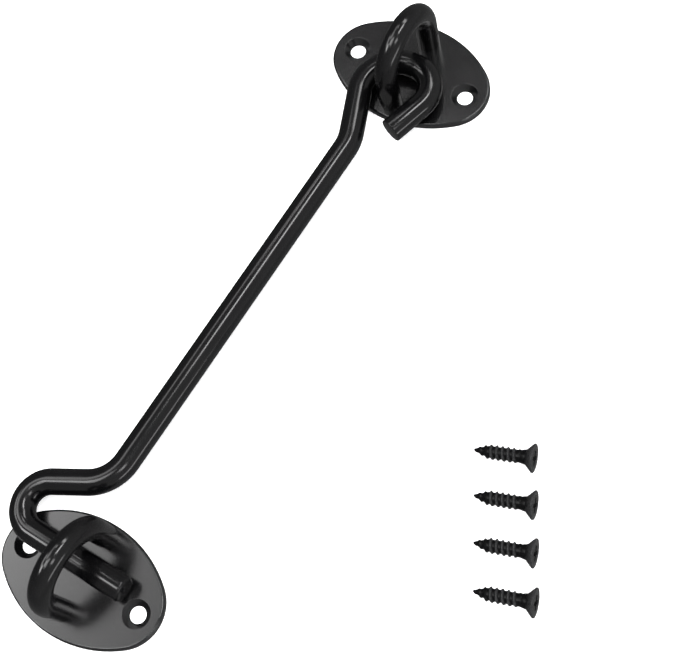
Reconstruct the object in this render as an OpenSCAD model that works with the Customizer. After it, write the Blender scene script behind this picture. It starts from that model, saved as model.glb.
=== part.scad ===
// Hook and eye latch: a bent rod that turns on one riveted staple and drops its tip through another.
// It lies on its back. The origin is the middle of the pivot plate's back face.
// +X runs from the pivot plate to the catch plate, +Y along the plates, +Z out of the mounting face.

/* [Plates] */
// Length of each oval plate, along Y
plate_len = 50; // [46:1:60]
// Width of each oval plate, along X
plate_w = 32.4; // [31.5:0.1:36]
// Thickness of each plate
plate_t = 2; // [1.8:0.1:3]
// Radius of the arc at each end of the oval
plate_end_r = 11.5; // [9:0.5:13]
// Radius of the rounded top edge
rim_r = 0.8; // [0.3:0.1:0.9]
// Distance between the two screw holes of a plate
hole_pitch = 36.6; // [34:0.2:40]
// Diameter of a screw hole at the back of the plate
hole_d = 4.6; // [4.2:0.1:5]
// Diameter of the countersink at the front of the plate
sink_d = 7.8; // [7.4:0.1:8]
// Full angle of the countersink
sink_angle = 90; // [82:1:100]
// Distance between the middles of the two plates
plate_spacing = 170.7; // [150:0.1:220]

/* [Staples] */
// Distance from the middle of the catch plate to its staple, towards the pivot plate
catch_set = 1.4; // [0:0.1:1.6]
// Diameter of the staple's wire
staple_wire = 6.5; // [6:0.1:7]
// Distance between the axes of the two legs
staple_span = 22; // [21:0.5:23]
// Straight height of a leg above the plate
staple_leg = 10.2; // [9.5:0.1:14]
// Diameter of the tenon that goes through the plate
tenon_d = 4.4; // [4:0.1:4.8]
// Diameter of the tenon's peened end
peen_d = 6; // [5.4:0.1:6.2]
// Gap between a tenon and its hole, on the radius
tenon_fit = 0.05; // [0.02:0.01:0.1]
// Depth of a peened end below the back of the plate
peen_sink = 0.1; // [0.05:0.05:0.3]

/* [Hook rod] */
// Diameter of the rod
rod_d = 7.2; // [6.6:0.1:7.4]
// Gap between the rod and the top of the plates
rod_lift = 0.3; // [0.2:0.1:0.8]
// Distance from the axis of the leg it turns on to the back of the ring
ring_back = 11.2; // [10.6:0.1:12]
// Place along Y of the back of the ring
ring_side = 1.9; // [1:0.1:2.4]
// Straight length at the back of the ring
ring_flat = 0.8; // [0.4:0.1:2]
// Bend radius of the ring on the side of its tail
tail_bend_r = 8.2; // [8:0.1:9]
// Angle of the tail to the X axis
tail_angle = 18; // [10:1:22]
// Straight length of the tail
tail_len = 11.4; // [8:0.1:13]
// Bend radius of the ring on the side of its neck
neck_bend_r = 10.5; // [10.2:0.1:11.6]
// Angle of the neck to the X axis
neck_angle = 21.7; // [18:0.1:26]
// Bend radius where the neck meets the shank
jog_r = 14; // [6:0.5:18]
// Distance from the shank's axis to the pivot staple's middle plane, at the leg it turns on
shank_in = 1.65; // [1:0.05:2.6]
// Distance from the shank's axis to the catch staple's middle plane, at the nearer leg
shank_out = 6.15; // [5:0.05:8]
// Bend radius where the shank rises to the hook
elbow_r = 12; // [9:0.5:14]
// Angle of the riser to the X axis
riser_angle = 62; // [56:1:64]
// Bend radius of the hook
hook_r = 7.2; // [6.8:0.1:7.6]
// Distance from the catch staple's middle plane to the top of the hook's bend, on the rod's axis
hook_reach = 24.4; // [22:0.1:28]
// Distance from the axis of the catch staple's nearer leg to the tip's axis
tip_inset = 8.9; // [7.4:0.1:10]
// Length of the tip past the catch staple's middle plane
tip_len = 13.8; // [8:0.1:18]
// Bevel on the end of the tip
tip_bevel = 0.9; // [0.2:0.1:1.4]
// Bevel on the end of the tail
tail_bevel = 0.2; // [0.1:0.1:1]
// Bulge of the rod where it is bent, on the radius
bend_swell = 0.03; // [0.02:0.01:0.1]

/* [Screws] */
// Length of a screw over its head
screw_len = 16; // [14:1:20]
// Outer diameter of the thread
thread_d = 4; // [3.6:0.1:4.1]
// Length of the screw's point
point_len = 4; // [3:0.5:5]
// Diameter of the blunt end of the point
point_d = 0.5; // [0.3:0.1:0.8]
// Play of the screw's head in the countersink, on the diameter
head_play = 0.2; // [0.1:0.1:0.4]
// Height of the straight edge of the head
head_edge = 0.4; // [0.2:0.1:0.6]
// Place along X of the first loose screw
screw_row_x = 88; // [70:1:100]
// Place along Y of the first loose screw
screw_row_y = 80; // [70:1:100]
// Distance between neighbouring loose screws
screw_step = 12.1; // [10:0.1:16]
// Direction of the row of loose screws, from +X towards +Y
screw_row_angle = 29; // [10:1:45]
// Direction that the loose screws' heads point, from +X towards +Y
screw_heading = 108; // [90:1:130]

/* [Hidden] */
$fn = 64;
// Length by which a cutting tool overshoots the face it cuts
over = 1;
// Length by which a straight run of rod reaches into the bends that it joins
run_lap = 0.3;
black_coat = [0.09, 0.09, 0.095];
black_rod = [0.06, 0.06, 0.065];
black_screw = [0.08, 0.08, 0.085];

// Oval of four arcs: the end arcs meet the side arcs on one tangent
end_c = plate_len / 2 - plate_end_r;
side_r = (end_c ^ 2 + (plate_w / 2) ^ 2 - plate_end_r ^ 2) / (plate_w - 2 * plate_end_r);
side_c = side_r - plate_w / 2;
sink_slope = tan(sink_angle / 2);
sink_h = (sink_d - hole_d) / 2 / sink_slope;
peen_h = (peen_d - tenon_d) / 2;

// Rod axis in plan, from the tail to the tip, as bends joined by straights
rod_z = plate_t + rod_lift + rod_d / 2;
pivot_x = staple_span / 2;
catch_x = plate_spacing - catch_set;
catch_leg_x = catch_x - staple_span / 2;
ring_x = pivot_x - ring_back;
tip_x = catch_leg_x + tip_inset;
shank_a = -atan((shank_out - shank_in) / (catch_leg_x - pivot_x));
tail_c = [ring_x + tail_bend_r, ring_side + ring_flat / 2];
neck_c = [ring_x + neck_bend_r, ring_side - ring_flat / 2];
hook_c = [tip_x - hook_r, hook_r - hook_reach];
tail_bend = [tail_c, tail_bend_r, 90 - tail_angle, 90 + tail_angle];
neck_bend = [neck_c, neck_bend_r, 180, 90 + neck_angle];
hook_bend = [hook_c, hook_r, -90 - riser_angle, 90 + riser_angle];
shank_point = [pivot_x, -shank_in];
jog_point = crossing(bend_at(neck_bend, 1), neck_angle, shank_point, shank_a);
elbow_point = crossing(bend_at(hook_bend, 0), -riser_angle, shank_point, shank_a);
jog_bend = corner_bend(jog_point, neck_angle, shank_a, jog_r);
elbow_bend = corner_bend(elbow_point, shank_a, -riser_angle, elbow_r);
rod_bends = [tail_bend, neck_bend, jog_bend, elbow_bend, hook_bend];
tail_end = bend_at(tail_bend, 0) + tail_len * dir(-tail_angle);
tip_end = [tip_x, tip_len];

// A loose screw rests on the edge of its head and on the end of its thread
head_r = (sink_d - head_play) / 2;
thread_r = thread_d / 2;
screw_tilt = atan((head_r - thread_r) / (screw_len - point_len - head_edge));
screw_z = head_edge * sin(screw_tilt) + head_r * cos(screw_tilt);

// Unit vector at an angle from +X
function dir(a) = [cos(a), sin(a)];

// Where the line through p at angle a meets the line through q at angle b
function crossing(p, a, q, b) =
    let (d = dir(a), e = dir(b), s = q - p)
    p + d * (s.x * e.y - s.y * e.x) / (d.x * e.y - d.y * e.x);

// Bend of radius r that rounds the corner p between angles a and b: centre, radius, start angle, sweep
function corner_bend(p, a, b, r) =
    let (turn = b - a, side = sign(turn), start = p - dir(a) * r * tan(abs(turn) / 2))
    [start + dir(a + 90) * r * side, r, a - 90 * side, turn];

// Point on a bend: 0 is its start and 1 its end
function bend_at(b, k) = b[0] + b[1] * dir(b[2] + k * b[3]);

// Half section of a disc whose top edge is rounded
module rim_section(r) {
    square([r - rim_r, plate_t]);
    square([r, plate_t - rim_r]);
    translate([r - rim_r, plate_t - rim_r]) circle(r = rim_r);
}

// One side of the oval: a slice of a large disc, between the lines through the end arcs' centres
module oval_side() {
    reach = plate_w;
    spread = end_c * (1 + reach / side_c);
    intersection() {
        translate([-side_c, 0, 0]) rotate_extrude($fn = 128) rim_section(side_r);
        linear_extrude(plate_t)
            polygon([[0, -end_c], [reach, -spread], [reach, spread], [0, end_c]]);
    }
}

module oval_blank() {
    oval_side();
    mirror([1, 0, 0]) oval_side();
    for (s = [-1, 1])
        translate([0, s * end_c, 0]) rotate_extrude() rim_section(plate_end_r);
}

module screw_hole() {
    translate([0, 0, -over]) cylinder(d = hole_d, h = plate_t + 2 * over);
    translate([0, 0, plate_t - sink_h])
        cylinder(d1 = hole_d, d2 = sink_d + 2 * over * sink_slope, h = sink_h + over);
}

module tenon_hole() {
    translate([0, 0, -over]) cylinder(d = tenon_d + 2 * tenon_fit, h = plate_t + 2 * over);
    translate([0, 0, -over])
        cylinder(d1 = peen_d + 2 * (tenon_fit + over), d2 = tenon_d + 2 * tenon_fit, h = peen_h + over);
}

// Plate whose staple sits at staple_x
module plate(staple_x) {
    difference() {
        oval_blank();
        for (s = [-1, 1]) {
            translate([0, s * hole_pitch / 2, 0]) screw_hole();
            translate([staple_x + s * staple_span / 2, 0, 0]) tenon_hole();
        }
    }
}

// Leg with its tenon, which is peened into the back of the plate
module staple_leg_piece() {
    translate([0, 0, plate_t]) cylinder(d = staple_wire, h = staple_leg);
    translate([0, 0, peen_sink]) cylinder(d = tenon_d, h = plate_t - peen_sink);
    translate([0, 0, peen_sink])
        cylinder(d1 = peen_d - 2 * peen_sink, d2 = tenon_d, h = peen_h - peen_sink);
}

module staple() {
    for (s = [-1, 1])
        translate([s * staple_span / 2, 0, 0]) staple_leg_piece();
    translate([0, 0, plate_t + staple_leg]) rotate([90, 0, 0])
        rotate_extrude(angle = 180) translate([staple_span / 2, 0]) circle(d = staple_wire);
}

module rod_bend(b) {
    translate(b[0]) rotate([0, 0, min(b[2], b[2] + b[3])])
        rotate_extrude(angle = abs(b[3])) translate([b[1], 0]) circle(r = rod_d / 2 + bend_swell);
}

// Straight length of rod between two bends, which end and start at p and q
module rod_run(p, q) {
    s = q - p;
    translate(p) rotate([0, 90, atan2(s.y, s.x)])
        translate([0, 0, -run_lap]) cylinder(d = rod_d, h = norm(s) + 2 * run_lap);
}

// Straight length of rod from a bend's end at p to a cut end at q
module rod_end(p, q, bevel) {
    s = q - p;
    full = norm(s) - bevel;
    translate(p) rotate([0, 90, atan2(s.y, s.x)]) {
        translate([0, 0, -run_lap]) cylinder(d = rod_d, h = full + run_lap);
        translate([0, 0, full]) cylinder(d1 = rod_d, d2 = rod_d - 2 * bevel, h = bevel);
    }
}

// Screw with its head's face at z = 0 and its point down
module screw() {
    rotate_extrude()
        polygon([[0, 0], [head_r, 0], [head_r, -head_edge], [thread_r, thread_r - head_r - head_edge],
            [thread_r, point_len - screw_len], [point_d / 2, -screw_len], [0, -screw_len]]);
}

// Screw number i of the row, lying loose
module loose_screw(i) {
    middle = [screw_row_x, screw_row_y] + i * screw_step * dir(screw_row_angle);
    head = middle + dir(screw_heading) * cos(screw_tilt) * screw_len / 2;
    color(black_screw)
        translate([head.x, head.y, screw_z]) rotate([0, 90 - screw_tilt, screw_heading]) screw();
}

module pivot_plate() {
    color(black_coat) plate(0);
}

module pivot_staple() {
    color(black_rod) staple();
}

module catch_plate() {
    color(black_coat) translate([plate_spacing, 0, 0]) plate(-catch_set);
}

module catch_staple() {
    color(black_rod) translate([catch_x, 0, 0]) staple();
}

module hook_rod() {
    color(black_rod) translate([0, 0, rod_z]) {
        rod_end(bend_at(tail_bend, 0), tail_end, tail_bevel);
        for (b = rod_bends)
            rod_bend(b);
        for (i = [0 : len(rod_bends) - 2])
            rod_run(bend_at(rod_bends[i], 1), bend_at(rod_bends[i + 1], 0));
        rod_end(bend_at(hook_bend, 1), tip_end, tip_bevel);
    }
}

pivot_plate();
pivot_staple();
catch_plate();
catch_staple();
hook_rod();
loose_screw(0);  // screw_1
loose_screw(1);  // screw_2
loose_screw(2);  // screw_3
loose_screw(3);  // screw_4
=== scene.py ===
import bpy
import math
from mathutils import Matrix, Quaternion, Vector


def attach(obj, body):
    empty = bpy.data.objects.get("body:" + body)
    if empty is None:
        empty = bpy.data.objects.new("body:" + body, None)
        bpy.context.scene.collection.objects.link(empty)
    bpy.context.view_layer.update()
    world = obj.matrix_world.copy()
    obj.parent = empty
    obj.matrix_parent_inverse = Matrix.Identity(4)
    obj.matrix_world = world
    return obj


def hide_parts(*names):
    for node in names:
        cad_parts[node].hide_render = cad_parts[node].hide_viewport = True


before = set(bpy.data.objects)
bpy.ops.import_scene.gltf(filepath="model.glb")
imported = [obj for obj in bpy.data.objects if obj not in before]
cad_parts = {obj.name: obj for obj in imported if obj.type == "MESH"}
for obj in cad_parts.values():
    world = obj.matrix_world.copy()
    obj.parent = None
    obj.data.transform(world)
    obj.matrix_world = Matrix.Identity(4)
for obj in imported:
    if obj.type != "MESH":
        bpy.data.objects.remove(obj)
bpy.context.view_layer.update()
mm = 0.001  # sizes in the dictionaries are in millimetres, angles in degrees
weld = 0.002 * mm  # vertices closer than this are one
near = 0.01 * mm  # slack when edges are picked by their place
over = 1.0  # cutters reach this far past what they cut, millimetres
smoothAngle = 35  # degrees, sharper edges stay sharp
print("frame loaded:", len(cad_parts), "nodes")


# Small helpers for working in edit mode

def startClean():
    if bpy.context.object and bpy.context.object.mode != "OBJECT":
        bpy.ops.object.mode_set(mode="OBJECT")
    bpy.ops.object.select_all(action="DESELECT")


def pickOnly(obj):
    startClean()
    obj.select_set(True)
    bpy.context.view_layer.objects.active = obj


def pickEdges(obj, wanted):
    # leaves the object in edit mode with only the wanted edges selected
    pickOnly(obj)
    bpy.ops.object.mode_set(mode="EDIT")
    bpy.ops.mesh.select_mode(type="EDGE")
    bpy.ops.mesh.select_all(action="DESELECT")
    bpy.ops.object.mode_set(mode="OBJECT")
    points = [obj.matrix_world @ vertex.co for vertex in obj.data.vertices]
    for edge in obj.data.edges:
        edge.select = wanted(points[edge.vertices[0]], points[edge.vertices[1]])
    bpy.ops.object.mode_set(mode="EDIT")


def pullFace(move, grow=1.0, around=(0, 0, 0)):
    bpy.ops.mesh.extrude_region_move(TRANSFORM_OT_translate={"value": move})
    if grow != 1.0:
        bpy.ops.transform.resize(value=(grow, grow, grow), center_override=around)


def spinFace(centre, axis, degrees, stepAngle):
    steps = max(2, round(abs(degrees) / stepAngle))
    bpy.ops.mesh.spin(steps=steps, angle=-math.radians(degrees), center=centre, axis=axis)


def shrinkToVertex():
    # the new plane becomes one vertex, to draw a line or an arc from
    bpy.ops.object.mode_set(mode="EDIT")
    bpy.ops.mesh.select_mode(type="VERT")
    bpy.ops.mesh.select_all(action="SELECT")
    bpy.ops.mesh.merge(type="CENTER")


def turnedPiece(name, profile, sides, x=0.0, y=0.0):
    # a round piece, pulled up step by step from (radius, height) pairs in millimetres
    startClean()
    radius, height = profile[0]
    bpy.ops.mesh.primitive_circle_add(vertices=sides, radius=radius * mm, fill_type="NGON",
                                      location=(x * mm, y * mm, height * mm))
    obj = bpy.context.object
    obj.name = name
    bpy.ops.object.mode_set(mode="EDIT")
    bpy.ops.mesh.select_all(action="SELECT")
    for nextRadius, nextHeight in profile[1:]:
        pullFace((0, 0, (nextHeight - height) * mm), nextRadius / radius,
                 (x * mm, y * mm, nextHeight * mm))
        radius, height = nextRadius, nextHeight
    tidyMesh(obj)
    return obj


def tidyMesh(obj):
    # place goes into the mesh, doubles go, normals point out
    pickOnly(obj)
    bpy.ops.object.transform_apply(location=True, rotation=True, scale=True)
    bpy.ops.object.mode_set(mode="EDIT")
    bpy.ops.mesh.select_all(action="SELECT")
    bpy.ops.mesh.remove_doubles(threshold=weld)
    bpy.ops.mesh.normals_make_consistent(inside=False)
    bpy.ops.object.mode_set(mode="OBJECT")


def cutWith(obj, cutter, operation="DIFFERENCE"):
    pickOnly(obj)
    cut = obj.modifiers.new("cut", "BOOLEAN")
    cut.operation = operation
    cut.solver = "EXACT"
    cut.object = cutter
    bpy.ops.object.modifier_apply(modifier=cut.name)
    bpy.data.objects.remove(cutter, do_unlink=True)


def settle(obj, smoothAngle):
    tidyMesh(obj)
    bpy.ops.object.shade_smooth_by_angle(angle=math.radians(smoothAngle))


def copyOf(obj, name, move=(0, 0, 0)):
    pickOnly(obj)
    bpy.ops.object.duplicate(linked=False)
    twin = bpy.context.object
    twin.name = name
    bpy.ops.transform.translate(value=move)
    bpy.ops.object.transform_apply(location=True, rotation=True, scale=True)
    return twin


def dress(obj, material, node, body):
    obj.data.materials.clear()
    obj.data.materials.append(material)
    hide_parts(node)
    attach(obj, body)


# Materials

def linear(hexText):
    channels = [int(hexText[i:i + 2], 16) / 255 for i in (1, 3, 5)]
    return [c / 12.92 if c <= 0.04045 else ((c + 0.055) / 1.055) ** 2.4 for c in channels] + [1.0]


def addNode(tree, kind, values=None, links=None, **settings):
    node = tree.nodes.new(kind)
    for name, value in settings.items():
        setattr(node, name, value)
    for socket, value in (values or {}).items():
        node.inputs[socket].default_value = value
    for socket, source in (links or {}).items():
        tree.links.new(source, node.inputs[socket])
    return node


def newMaterial(name):
    material = bpy.data.materials.new(name)
    material.use_nodes = True
    material.node_tree.nodes.clear()
    return material, material.node_tree


def perMetre(sizeInMm):
    # scale of a noise whose features are this large
    return 1.0 / (sizeInMm * mm)


noiseLow, noiseHigh = 0.3, 0.7  # most values of a noise lie between these
mixA, mixB, mixOut = 6, 7, 2  # sockets of a mix node that are its colours


rodFinish = {
    "deep": "#050506",
    "thin": "#0c0c0d",
    "roughness": (0.13, 0.17),
    "ior": 1.5,
    "peelSize": 1.4,
    "peelDepth": 0.0006,
    "cloudSize": 9.0,
}


def bakedEnamel():
    # baked black enamel on drawn steel wire: deep black, glossy, with a faint orange peel
    s = rodFinish
    material, tree = newMaterial("bakedBlackEnamel")
    place = addNode(tree, "ShaderNodeTexCoord").outputs["Object"]
    clouds = addNode(tree, "ShaderNodeTexNoise", {"Scale": perMetre(s["cloudSize"]), "Detail": 4.0},
                     {"Vector": place})
    peel = addNode(tree, "ShaderNodeTexNoise", {"Scale": perMetre(s["peelSize"]), "Detail": 2.0},
                   {"Vector": place})
    colour = addNode(tree, "ShaderNodeMix", {mixA: linear(s["deep"]), mixB: linear(s["thin"])},
                     {0: clouds.outputs["Fac"]}, data_type="RGBA")
    rough = addNode(tree, "ShaderNodeMapRange",
                    {"From Min": noiseLow, "From Max": noiseHigh,
                     "To Min": s["roughness"][0], "To Max": s["roughness"][1]},
                    {"Value": clouds.outputs["Fac"]})
    bump = addNode(tree, "ShaderNodeBump", {"Strength": 1.0, "Distance": s["peelDepth"] * mm},
                   {"Height": peel.outputs["Fac"]})
    shader = addNode(tree, "ShaderNodeBsdfPrincipled", {"IOR": s["ior"]},
                     {"Base Color": colour.outputs[mixOut], "Roughness": rough.outputs["Result"],
                      "Normal": bump.outputs["Normal"]})
    addNode(tree, "ShaderNodeOutputMaterial", None, {"Surface": shader.outputs["BSDF"]})
    return material


plateFinish = {
    "deep": "#060607",
    "thin": "#0e0e0f",
    "roughness": (0.17, 0.2),
    "ior": 1.7,
    "grainSize": 0.45,
    "grainDepth": 0.0012,
    "cloudSize": 6.0,
}


def satinCoat():
    # electrocoated sheet steel: even satin black, blurred reflections, fine grain
    s = plateFinish
    material, tree = newMaterial("satinBlackCoat")
    place = addNode(tree, "ShaderNodeTexCoord").outputs["Object"]
    clouds = addNode(tree, "ShaderNodeTexNoise", {"Scale": perMetre(s["cloudSize"]), "Detail": 5.0},
                     {"Vector": place})
    grain = addNode(tree, "ShaderNodeTexNoise", {"Scale": perMetre(s["grainSize"]), "Detail": 3.0},
                    {"Vector": place})
    colour = addNode(tree, "ShaderNodeMix", {mixA: linear(s["deep"]), mixB: linear(s["thin"])},
                     {0: clouds.outputs["Fac"]}, data_type="RGBA")
    rough = addNode(tree, "ShaderNodeMapRange",
                    {"From Min": noiseLow, "From Max": noiseHigh,
                     "To Min": s["roughness"][0], "To Max": s["roughness"][1]},
                    {"Value": clouds.outputs["Fac"]})
    bump = addNode(tree, "ShaderNodeBump", {"Strength": 1.0, "Distance": s["grainDepth"] * mm},
                   {"Height": grain.outputs["Fac"]})
    shader = addNode(tree, "ShaderNodeBsdfPrincipled", {"IOR": s["ior"]},
                     {"Base Color": colour.outputs[mixOut], "Roughness": rough.outputs["Result"],
                      "Normal": bump.outputs["Normal"]})
    addNode(tree, "ShaderNodeOutputMaterial", None, {"Surface": shader.outputs["BSDF"]})
    return material


screwFinish = {
    "deep": "#080809",
    # the lighter colour of the crests and the head's edge: painted highlight along with wear
    "wornHighlight": "#464647",
    "ior": 1.26,
    "roughness": (0.24, 0.34),
    "grainSize": 0.3,
    "grainDepth": 0.004,
}


def blackPhosphate():
    # black phosphated steel: dull dark grey, lighter on the thread's crests and the head's edge, a
    # painted highlight along with wear
    s = screwFinish
    material, tree = newMaterial("blackPhosphate")
    place = addNode(tree, "ShaderNodeTexCoord").outputs["Object"]
    wornAndHighlit = addNode(tree, "ShaderNodeAttribute", attribute_name="wornAndHighlit")
    grain = addNode(tree, "ShaderNodeTexNoise", {"Scale": perMetre(s["grainSize"]), "Detail": 3.0},
                    {"Vector": place})
    patchy = addNode(tree, "ShaderNodeMath", None,
                     {0: wornAndHighlit.outputs["Fac"], 1: grain.outputs["Fac"]}, operation="MULTIPLY")
    colour = addNode(tree, "ShaderNodeMix", {mixA: linear(s["deep"]), mixB: linear(s["wornHighlight"])},
                     {0: patchy.outputs["Value"]}, data_type="RGBA")
    rough = addNode(tree, "ShaderNodeMapRange",
                    {"From Min": noiseLow, "From Max": noiseHigh,
                     "To Min": s["roughness"][0], "To Max": s["roughness"][1]},
                    {"Value": grain.outputs["Fac"]})
    bump = addNode(tree, "ShaderNodeBump", {"Strength": 1.0, "Distance": s["grainDepth"] * mm},
                   {"Height": grain.outputs["Fac"]})
    shader = addNode(tree, "ShaderNodeBsdfPrincipled", {"IOR": s["ior"]},
                     {"Base Color": colour.outputs[mixOut], "Roughness": rough.outputs["Result"],
                      "Normal": bump.outputs["Normal"]})
    addNode(tree, "ShaderNodeOutputMaterial", None, {"Surface": shader.outputs["BSDF"]})
    return material


enamel = bakedEnamel()
satin = satinCoat()
phosphate = blackPhosphate()
print("materials made")


# Oval plates with countersunk holes

ovalPlate = {
    "length": 50.0,
    "width": 32.4,
    "thickness": 2.0,
    "endRadius": 11.5,
    "sideStep": 1.5,
    "endStep": 2.5,
    "rimRadius": 0.7,
    "rimSegments": 6,
    "holePitch": 36.6,
    "holeDiameter": 4.6,
    "sinkDiameter": 7.8,
    "sinkEdge": 0.06,
    "sinkSegments": 3,
    "sinkSides": 72,
    "tenonHole": 4.5,
    "peenHole": 6.1,
    "tenonSides": 48,
    "spacing": 170.7,
}


def plateOutline(s):
    # four arcs drawn by spinning one vertex: right side, top end, left side, bottom end
    endCentre = s["length"] / 2 - s["endRadius"]
    halfWidth = s["width"] / 2
    spread = endCentre ** 2 + halfWidth ** 2 - s["endRadius"] ** 2
    sideRadius = spread / (s["width"] - 2 * s["endRadius"])
    sideCentre = sideRadius - halfWidth
    join = math.atan2(endCentre, sideCentre)
    sideTurn = 2 * math.degrees(join)
    endTurn = 180 - sideTurn
    startClean()
    bpy.ops.mesh.primitive_plane_add(size=1 * mm, location=(
        (sideRadius * math.cos(join) - sideCentre) * mm, -sideRadius * math.sin(join) * mm, 0))
    plate = bpy.context.object
    shrinkToVertex()
    arcs = (
        (-sideCentre, 0, sideTurn, s["sideStep"]),
        (0, endCentre, endTurn, s["endStep"]),
        (sideCentre, 0, sideTurn, s["sideStep"]),
        (0, -endCentre, endTurn, s["endStep"]),
    )
    for x, y, turn, step in arcs:
        spinFace((x * mm, y * mm, 0), (0, 0, 1), turn, step)
    bpy.ops.mesh.select_all(action="SELECT")
    bpy.ops.mesh.remove_doubles(threshold=weld)
    bpy.ops.mesh.edge_face_add()
    return plate


def onSinkEdge(point, s):
    reach = math.hypot(point.x, abs(point.y) - s["holePitch"] / 2 * mm)
    onTop = point.z > s["thickness"] * mm - near
    return onTop and abs(reach - s["sinkDiameter"] / 2 * mm) < 2 * near


def makePlate(name):
    s = ovalPlate
    top = s["thickness"]
    plate = plateOutline(s)
    plate.name = name
    pullFace((0, 0, top * mm))
    tidyMesh(plate)
    pickEdges(plate, lambda a, b: min(a.z, b.z) > top * mm - near)
    bpy.ops.mesh.bevel(offset=s["rimRadius"] * mm, segments=s["rimSegments"], affect="EDGES")
    hole = s["holeDiameter"] / 2
    sink = s["sinkDiameter"] / 2
    for side in (-1, 1):
        profile = ((hole, -over), (hole, top - (sink - hole)), (sink + over, top + over))
        cutter = turnedPiece("sinkCutter", profile, s["sinkSides"], y=side * s["holePitch"] / 2)
        cutWith(plate, cutter)
    tidyMesh(plate)
    pickEdges(plate, lambda a, b: onSinkEdge(a, s) and onSinkEdge(b, s))
    bpy.ops.mesh.bevel(offset=s["sinkEdge"] * mm, segments=s["sinkSegments"], affect="EDGES")
    tidyMesh(plate)
    return plate


def drillTenonHoles(plate, stapleAt):
    # each hole opens out at the back, where the tenon is peened over
    s = ovalPlate
    tenon = s["tenonHole"] / 2
    peen = s["peenHole"] / 2
    for side in (-1, 1):
        profile = ((peen + over, -over), (tenon, peen - tenon), (tenon, s["thickness"] + over))
        legAt = stapleAt + side * stapleWire["span"] / 2
        cutWith(plate, turnedPiece("tenonCutter", profile, s["tenonSides"], x=legAt))
    settle(plate, smoothAngle)
    weigh = plate.modifiers.new("weigh", "WEIGHTED_NORMAL")
    weigh.keep_sharp = True
    bpy.ops.object.modifier_apply(modifier=weigh.name)


# Staples: a leg with its tenon, half a turn, and the other leg

stapleWire = {
    "wire": 6.5,
    "span": 22.0,
    "catchSet": 1.4,
    "leg": 10.2,
    "tenon": 4.4,
    "peen": 6.0,
    "peenSink": 0.1,
    "sides": 56,
    "bendStep": 3.0,
}


def makeStaple(name):
    s = stapleWire
    top = ovalPlate["thickness"]
    half = s["span"] / 2
    wire = s["wire"] / 2
    tenon = s["tenon"] / 2
    peen = s["peen"] / 2 - s["peenSink"]
    flare = s["peen"] / 2 - tenon
    archHeight = top + s["leg"]
    startClean()
    bpy.ops.mesh.primitive_circle_add(vertices=s["sides"], radius=peen * mm, fill_type="NGON",
                                      location=(half * mm, 0, s["peenSink"] * mm))
    staple = bpy.context.object
    staple.name = name
    bpy.ops.object.mode_set(mode="EDIT")
    bpy.ops.mesh.select_all(action="SELECT")
    pullFace((0, 0, (flare - s["peenSink"]) * mm), tenon / peen, (half * mm, 0, flare * mm))
    pullFace((0, 0, (top - flare) * mm))
    pullFace((0, 0, 0), wire / tenon, (half * mm, 0, top * mm))
    pullFace((0, 0, s["leg"] * mm))
    spinFace((0, 0, archHeight * mm), (0, -1, 0), 180, s["bendStep"])
    pullFace((0, 0, -s["leg"] * mm))
    pullFace((0, 0, 0), tenon / wire, (-half * mm, 0, top * mm))
    pullFace((0, 0, (flare - top) * mm))
    pullFace((0, 0, (s["peenSink"] - flare) * mm), peen / tenon, (-half * mm, 0, s["peenSink"] * mm))
    settle(staple, smoothAngle)
    return staple


# Hook rod: straights pulled from a disc, bends spun about their centres

hookRod = {
    "diameter": 7.2,
    "height": 5.9,
    "ringBack": 11.2,
    "ringSide": 1.9,
    "ringFlat": 0.8,
    "tailBend": 8.2,
    "tailAngle": 18.0,
    "tailLength": 11.4,
    "tailBevel": 0.2,
    "neckBend": 10.5,
    "neckAngle": 21.7,
    "jogBend": 14.0,
    "shankIn": 1.65,
    "shankOut": 6.15,
    "elbowBend": 12.0,
    "riserAngle": 62.0,
    "hookBend": 7.2,
    "hookReach": 24.4,
    "tipInset": 8.9,
    "tipLength": 13.8,
    "tipBevel": 0.9,
    "bevelSegments": 5,
    "sides": 64,
    "bendStep": 3.0,
}


def heading(degrees):
    return Vector((math.cos(math.radians(degrees)), math.sin(math.radians(degrees))))


def crossing(p, a, q, b):
    # where the line through p at angle a meets the line through q at angle b
    d, e, gap = heading(a), heading(b), q - p
    return p + d * ((gap.x * e.y - gap.y * e.x) / (d.x * e.y - d.y * e.x))


def cornerBend(p, a, b, radius):
    # the bend that rounds the corner p between the angles a and b
    turn = b - a
    side = math.copysign(1, turn)
    start = p - heading(a) * radius * math.tan(math.radians(abs(turn) / 2))
    return start + heading(a + 90) * radius * side, radius, a - 90 * side, turn


def bendAt(bend, share):
    centre, radius, start, sweep = bend
    return centre + heading(start + share * sweep) * radius


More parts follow.
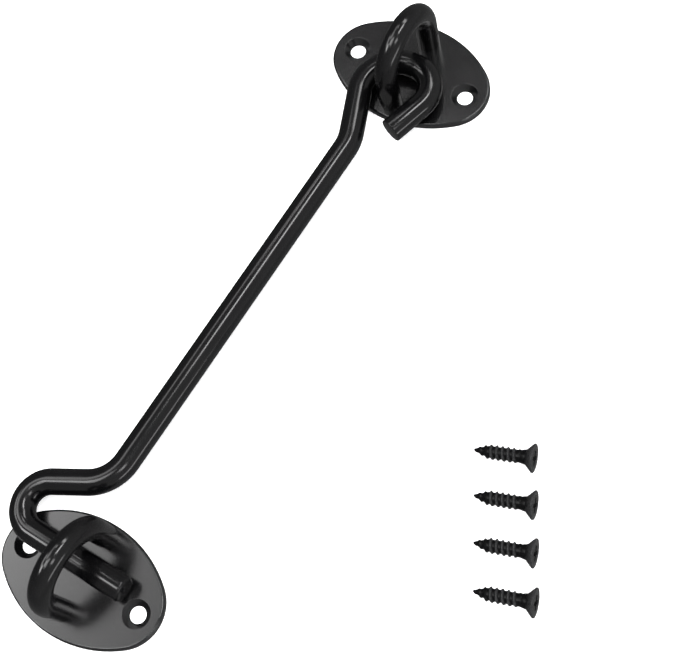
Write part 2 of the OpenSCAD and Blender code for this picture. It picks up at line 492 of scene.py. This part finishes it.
def rodBends(s):
    # the rod's axis in plan, from the tail to the tip: centre, radius, start angle, sweep
    pivotLeg = stapleWire["span"] / 2
    catchLeg = ovalPlate["spacing"] - stapleWire["catchSet"] - pivotLeg
    back = pivotLeg - s["ringBack"]
    shankAngle = -math.degrees(math.atan((s["shankOut"] - s["shankIn"]) / (catchLeg - pivotLeg)))
    tailAt = Vector((back + s["tailBend"], s["ringSide"] + s["ringFlat"] / 2))
    tail = (tailAt, s["tailBend"], 90 - s["tailAngle"], 90 + s["tailAngle"])
    neckAt = Vector((back + s["neckBend"], s["ringSide"] - s["ringFlat"] / 2))
    neck = (neckAt, s["neckBend"], 180, 90 + s["neckAngle"])
    hookAt = Vector((catchLeg + s["tipInset"] - s["hookBend"], s["hookBend"] - s["hookReach"]))
    hook = (hookAt, s["hookBend"], -90 - s["riserAngle"], 90 + s["riserAngle"])
    shank = Vector((pivotLeg, -s["shankIn"]))
    jogCorner = crossing(bendAt(neck, 1), s["neckAngle"], shank, shankAngle)
    elbowCorner = crossing(bendAt(hook, 0), -s["riserAngle"], shank, shankAngle)
    jog = cornerBend(jogCorner, s["neckAngle"], shankAngle, s["jogBend"])
    elbow = cornerBend(elbowCorner, shankAngle, -s["riserAngle"], s["elbowBend"])
    return [tail, neck, jog, elbow, hook]


def onRodEnd(point, end, along, radius):
    away = Vector((point.x, point.y)) - end * mm
    return abs(away.dot(along)) < near and away.length < radius * mm + 10 * near


def makeHookRod(name):
    s = hookRod
    bends = rodBends(s)
    radius = s["diameter"] / 2
    tailEnd = bendAt(bends[0], 0) + heading(-s["tailAngle"]) * s["tailLength"]
    tipEnd = bendAt(bends[-1], 1) + Vector((0, s["tipLength"] - bendAt(bends[-1], 1).y))
    startClean()
    bpy.ops.mesh.primitive_circle_add(
        vertices=s["sides"], radius=radius * mm, fill_type="NGON",
        location=(tailEnd.x * mm, tailEnd.y * mm, s["height"] * mm),
        rotation=(0, math.pi / 2, math.radians(180 - s["tailAngle"])))
    rod = bpy.context.object
    rod.name = name
    bpy.ops.object.mode_set(mode="EDIT")
    bpy.ops.mesh.select_all(action="SELECT")
    here = tailEnd
    for bend in bends:
        run = bendAt(bend, 0) - here
        pullFace((run.x * mm, run.y * mm, 0))
        spinFace((bend[0].x * mm, bend[0].y * mm, s["height"] * mm), (0, 0, 1), bend[3], s["bendStep"])
        here = bendAt(bend, 1)
    run = tipEnd - here
    pullFace((run.x * mm, run.y * mm, 0))
    tidyMesh(rod)
    for end, along, bevel in ((tailEnd, heading(-s["tailAngle"]), s["tailBevel"]),
                              (tipEnd, heading(90), s["tipBevel"])):
        pickEdges(rod, lambda a, b: all(onRodEnd(p, end, along, radius) for p in (a, b)))
        bpy.ops.mesh.bevel(offset=bevel * mm, segments=s["bevelSegments"], affect="EDGES")
    settle(rod, smoothAngle)
    return rod


# Loose screws: a thread turned up by a modifier, a countersunk head and a cross recess

woodScrew = {
    "length": 16.0,
    "headDiameter": 7.6,
    "headEdge": 0.4,
    "headBevel": 0.14,
    "headSegments": 3,
    "headSides": 72,
    "rootSteps": ((0.7, 4.0), (0.9, 3.2)),  # share of the thread's radius, depth
    "threadDiameter": 4.0,
    "coreShare": 0.78,
    "pitch": 1.5,
    "crestWidth": 0.16,
    "flankShare": 0.3,
    "turnSteps": 40,
    "threadTop": 1.0,
    "runOut": 3.2,
    "runOutTurns": 1.5,
    "neckShare": 0.3,
    "pointLength": 4.0,
    "pointDiameter": 0.5,
    "pointCurve": 0.85,
    "crossSpan": 4.4,
    "crossWidth": 1.2,
    "crossDepth": 1.9,
    "crossRise": 0.4,
    "crossTaper": 0.38,
    "crossTurn": 20.0,
    # where the screw is painted lighter: crests below this depth and the head's edge, painted highlight
    # along with wear
    "lightCrestDepth": 3.0,
    "lightCrestShare": 0.93,
    "lightEdgeWidth": 0.2,
    "lightEdgeShare": 0.7,
    "rowX": 88.0,
    "rowY": 80.0,
    "step": 12.1,
    "rowAngle": 29.0,
    "heading": 108.0,
    "count": 4,
    "smoothAngle": 30,
}


def threadBody(s):
    # one tooth drawn as a line of vertices, turned up the axis by a screw modifier
    crest = s["threadDiameter"] / 2
    core = crest * s["coreShare"]
    flank = (s["pitch"] - s["crestWidth"]) * s["flankShare"]
    gap = s["pitch"] - s["crestWidth"] - 2 * flank
    bottom = -s["length"] - s["pitch"]
    startClean()
    bpy.ops.mesh.primitive_plane_add(size=0.1 * mm, location=(core * mm, 0, bottom * mm))
    body = bpy.context.object
    body.name = "threadBody"
    shrinkToVertex()
    for dx, dz in ((0, gap), (crest - core, flank), (0, s["crestWidth"]), (core - crest, flank)):
        bpy.ops.mesh.extrude_region_move(TRANSFORM_OT_translate={"value": (dx * mm, 0, dz * mm)})
    pickOnly(body)
    bpy.ops.object.transform_apply(location=True, rotation=True, scale=True)
    twist = body.modifiers.new("twist", "SCREW")
    twist.axis = "Z"
    twist.screw_offset = s["pitch"] * mm
    twist.iterations = round((s["length"] + s["pitch"] - s["threadTop"]) / s["pitch"])
    twist.steps = s["turnSteps"]
    twist.render_steps = s["turnSteps"]
    twist.use_merge_vertices = True
    twist.merge_threshold = 0.001 * mm
    bpy.ops.object.modifier_apply(modifier=twist.name)
    tidyMesh(body)
    pickOnly(body)
    bpy.ops.object.mode_set(mode="EDIT")
    bpy.ops.mesh.select_mode(type="EDGE")
    bpy.ops.mesh.select_all(action="DESELECT")
    bpy.ops.mesh.select_non_manifold()
    bpy.ops.mesh.fill_holes(sides=0)
    bpy.ops.object.mode_set(mode="OBJECT")
    return body


def shapeThread(body, s):
    # the thread runs out below the head and tapers to the point
    crest = s["threadDiameter"] / 2
    core = crest * s["coreShare"]
    neck = core + s["neckShare"] * (crest - core)
    point = s["pointDiameter"] / s["threadDiameter"]
    for vertex in body.data.vertices:
        x, y, z = (c / mm for c in vertex.co)
        reach = math.hypot(x, y)
        below = s["length"] + z
        fade = max(0.0, min(1.0, (-s["runOut"] - z) / (s["pitch"] * s["runOutTurns"])))
        wanted = neck + (reach - neck) * fade
        if below < s["pointLength"]:
            wanted *= point + (1 - point) * (max(below, 0.0) / s["pointLength"]) ** s["pointCurve"]
        if below < 0.001:  # what lies past the end meets in the point
            wanted, z = 0.0, -s["length"]
        vertex.co = (x * wanted / reach * mm, y * wanted / reach * mm, z * mm)


def makeScrew(name):
    s = woodScrew
    head = s["headDiameter"] / 2
    core = s["threadDiameter"] / 2
    body = threadBody(s)
    shapeThread(body, s)
    tidyMesh(body)
    root = [(core * share, -depth) for share, depth in s["rootSteps"]]
    cone = [(core, -s["headEdge"] - (head - core)), (head, -s["headEdge"]), (head, 0)]
    screw = turnedPiece(name, root + cone, s["headSides"])
    pickEdges(screw, lambda a, b: min(a.z, b.z) > -near)
    bpy.ops.mesh.bevel(offset=s["headBevel"] * mm, segments=s["headSegments"], affect="EDGES")
    tidyMesh(screw)
    cutWith(screw, body, "UNION")
    for turn in (0, 90):
        startClean()
        middle = (s["crossRise"] - s["crossDepth"]) / 2
        bpy.ops.mesh.primitive_cube_add(size=1 * mm, location=(0, 0, middle * mm))
        wing = bpy.context.object
        wing.scale = (s["crossSpan"], s["crossWidth"], s["crossDepth"] + s["crossRise"])
        wing.rotation_euler = (0, 0, math.radians(turn + s["crossTurn"]))
        pickOnly(wing)
        bpy.ops.object.transform_apply(location=True, rotation=True, scale=True)
        for vertex in wing.data.vertices:
            if vertex.co.z < 0:
                vertex.co.x *= s["crossTaper"]
                vertex.co.y *= s["crossTaper"]
        cutWith(screw, wing)
    tidyMesh(screw)
    # mask of the lighter crests and head edge: painted highlight along with wear
    lightMarks = screw.data.attributes.new("wornAndHighlit", "FLOAT", "POINT")
    for vertex in screw.data.vertices:
        reach = math.hypot(vertex.co.x, vertex.co.y) / mm
        onCrest = vertex.co.z < -s["lightCrestDepth"] * mm and reach > core * s["lightCrestShare"]
        onEdge = reach > head - s["lightEdgeWidth"]
        lightMarks.data[vertex.index].value = 1.0 if onCrest else s["lightEdgeShare"] if onEdge else 0.0
    return screw


def layScrew(screw, index):
    # rests on the edge of its head and on the end of its thread
    s = woodScrew
    head = s["headDiameter"] / 2
    core = s["threadDiameter"] / 2
    tilt = math.atan((head - core) / (s["length"] - s["pointLength"] - s["headEdge"]))
    lift = s["headEdge"] * math.sin(tilt) + head * math.cos(tilt)
    middle = Vector((s["rowX"], s["rowY"])) + heading(s["rowAngle"]) * index * s["step"]
    headAt = middle + heading(s["heading"]) * math.cos(tilt) * s["length"] / 2
    screw.matrix_world = (Matrix.Translation((headAt.x * mm, headAt.y * mm, lift * mm)) @
                          Matrix.Rotation(math.radians(s["heading"]), 4, "Z") @
                          Matrix.Rotation(math.pi / 2 - tilt, 4, "Y"))
    settle(screw, s["smoothAngle"])


pivotPlate = makePlate("pivotPlateSteel")
catchPlate = copyOf(pivotPlate, "catchPlateSteel", (ovalPlate["spacing"] * mm, 0, 0))
catchStapleAt = ovalPlate["spacing"] - stapleWire["catchSet"]
drillTenonHoles(pivotPlate, 0)
drillTenonHoles(catchPlate, catchStapleAt)
print("plates made")
pivotStaple = makeStaple("pivotStapleWire")
catchStaple = copyOf(pivotStaple, "catchStapleWire", (catchStapleAt * mm, 0, 0))
print("staples made")
rod = makeHookRod("hookRodWire")
print("hook rod made")
firstScrew = makeScrew("looseScrew1")
screws = [firstScrew] + [copyOf(firstScrew, f"looseScrew{i}") for i in range(2, woodScrew["count"] + 1)]
for index, screw in enumerate(screws):
    layScrew(screw, index)
print("screws made")

dress(pivotPlate, satin, "pivot_plate", "pivot_eye")
dress(catchPlate, satin, "catch_plate", "catch_eye")
dress(pivotStaple, enamel, "pivot_staple", "pivot_eye")
dress(catchStaple, enamel, "catch_staple", "catch_eye")
dress(rod, enamel, "hook_rod", "hook")
for index, screw in enumerate(screws):
    dress(screw, phosphate, f"screw_{index + 1}", f"loose_screw_{index + 1}")


# Floor, light and camera

studio = {
    "floorSize": 6000.0,
    "floorPlace": (80, 20, -0.05),
    "floorColour": "#f4f4f4",
    "floorGlow": 0.75,
    "surroundColour": "#ffffff",
    "surroundStrength": (0.09, 0.48),
    "belowShare": 0.7,
    "panelHeight": 3000,
}


def makeFloor():
    s = studio
    startClean()
    bpy.ops.mesh.primitive_plane_add(size=s["floorSize"] * mm, location=[c * mm for c in s["floorPlace"]])
    floor = bpy.context.object
    floor.name = "paperFloor"
    material, tree = newMaterial("whitePaper")
    shader = addNode(tree, "ShaderNodeBsdfPrincipled",
                     {"Base Color": linear(s["floorColour"]), "Roughness": 0.9, "Specular IOR Level": 0.1,
                      "Emission Color": linear(s["floorColour"]), "Emission Strength": s["floorGlow"]})
    addNode(tree, "ShaderNodeOutputMaterial", None, {"Surface": shader.outputs["BSDF"]})
    floor.data.materials.append(material)
    floor.visible_glossy = False  # the black coat mirrors the dark studio, not the paper


def makeWorld():
    # soft surround, dim towards -Y and brighter towards +Y, a little dimmer below the floor
    s = studio
    world = bpy.data.worlds.new("softSurround")
    world.use_nodes = True
    tree = world.node_tree
    tree.nodes.clear()
    way = addNode(tree, "ShaderNodeSeparateXYZ", None,
                  {"Vector": addNode(tree, "ShaderNodeTexCoord").outputs["Generated"]})
    glow = addNode(tree, "ShaderNodeMapRange",
                   {"From Min": -1.0, "From Max": 1.0,
                    "To Min": s["surroundStrength"][0], "To Max": s["surroundStrength"][1]},
                   {"Value": way.outputs["Y"]})
    above = addNode(tree, "ShaderNodeMapRange",
                    {"From Min": -0.2, "From Max": 0.1, "To Min": s["belowShare"], "To Max": 1.0},
                    {"Value": way.outputs["Z"]})
    both = addNode(tree, "ShaderNodeMath", None,
                   {0: glow.outputs["Result"], 1: above.outputs["Result"]}, operation="MULTIPLY")
    back = addNode(tree, "ShaderNodeBackground", {"Color": linear(s["surroundColour"])},
                   {"Strength": both.outputs["Value"]})
    addNode(tree, "ShaderNodeOutputWorld", None, {"Surface": back.outputs["Background"]})
    bpy.context.scene.world = world


def addLamp(name, place, aim, size, brightness):
    # brightness 1 is white
    startClean()
    bpy.ops.object.light_add(type="AREA", location=[c * mm for c in place])
    lamp = bpy.context.object
    lamp.name = name
    lamp.data.shape = "RECTANGLE"
    lamp.data.size, lamp.data.size_y = size[0] * mm, size[1] * mm
    lamp.data.energy = brightness * math.pi * size[0] * size[1] * mm * mm
    away = Vector(aim) - Vector(place)
    lamp.rotation_euler = away.to_track_quat("-Z", "Y").to_euler()
    return lamp


# panels overhead, each mirrored as a streak: x, y, size, brightness
panels = {
    "brightPanel": (-920, 830, (1350, 480), 13.0),
    "farPanel": (640, 1850, (600, 1100), 5.5),
    "leftPanel": (-2150, 200, (700, 1500), 7.0),
    "middlePanel": (1050, -250, (1150, 700), 4.5),
    "bandPanel": (-520, -1690, (1320, 600), 3.0),
    "sidePanel": (280, -1800, (860, 600), 4.7),
    "sideStep1": (280, -1410, (860, 180), 2.6),
    "sideStep2": (280, -1230, (860, 180), 1.6),
    "sideStep3": (280, -1050, (860, 180), 1.5),
    "endPanel": (2150, -1950, (1200, 1100), 9.0),
    "lastPanel": (1100, -3100, (1600, 1100), 4.5),
    "riserPanel": (1125, -840, (750, 480), 7.5),
    "tipPanel": (-960, -970, (360, 320), 7.0),
}

# x, y and z of a lamp and of its aim, size, brightness
fill = ((80, 40, 2000), (80, 40, 0), (3000, 3000), 2.0)
lowBox = ((450, 1400, 125), (450, 0, 0), (900, 200), 4.5)

camera = {
    "place": (156.44, 133.86, 316.54),
    "aim": (78.455, 23.915, 2.0),
    "roll": -24.764,
    "lens": 66.44,
    "sensor": 36,
}


def makeCamera():
    s = camera
    startClean()
    bpy.ops.object.camera_add(location=[c * mm for c in s["place"]])
    eye = bpy.context.object
    look = (Vector(s["aim"]) - Vector(s["place"])).to_track_quat("-Z", "Y")
    eye.rotation_euler = (look @ Quaternion((0, 0, 1), math.radians(s["roll"]))).to_euler()
    eye.data.sensor_fit = "HORIZONTAL"
    eye.data.sensor_width = s["sensor"]
    eye.data.lens = s["lens"]
    eye.data.clip_start = 0.01
    bpy.context.scene.camera = eye


makeFloor()
makeWorld()
addLamp("ceilingFill", *fill).visible_glossy = False  # lights the paper without a streak
for name, (x, y, size, brightness) in panels.items():
    addLamp(name, (x, y, studio["panelHeight"]), (x, y, 0), size, brightness)
addLamp("lowBox", *lowBox)
makeCamera()
bpy.context.scene.view_settings.view_transform = "Standard"
print("studio made")
